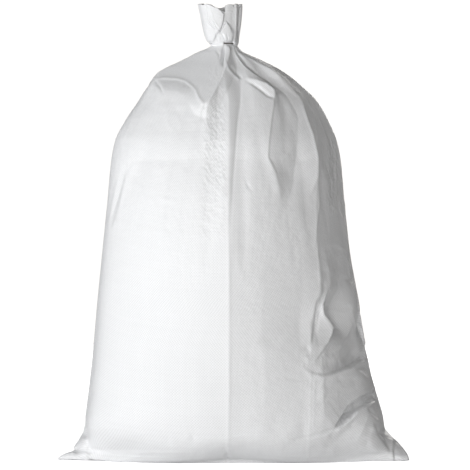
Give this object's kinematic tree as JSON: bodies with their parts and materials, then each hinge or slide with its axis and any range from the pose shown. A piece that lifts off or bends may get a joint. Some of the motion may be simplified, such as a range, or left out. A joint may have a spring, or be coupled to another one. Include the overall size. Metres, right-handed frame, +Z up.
{
  "type": "filled woven cement sack",
  "caption": "Upright filled sack of plain white woven polypropylene, drawn together and wire-tied at the neck, with a gathered ruff and two bottom corners.",
  "frame": {"origin": "middle of the sack's bounding box, on the floor that it stands on", "axes": "+Z up to the tied neck, +X to the right along the bottom seam, -Y to the front"},
  "size_m": [0.562, 0.3576, 0.7336],
  "materials": {
    "woven_polypropylene": "plain white flat-tape weave with a faint satin gloss, uncoated and unprinted",
    "tie_wire": "dark annealed steel wire"
  },
  "bodies": {
    "root": {"sack": "woven_polypropylene", "neck_tie": "tie_wire"}
  },
  "joints": []
}
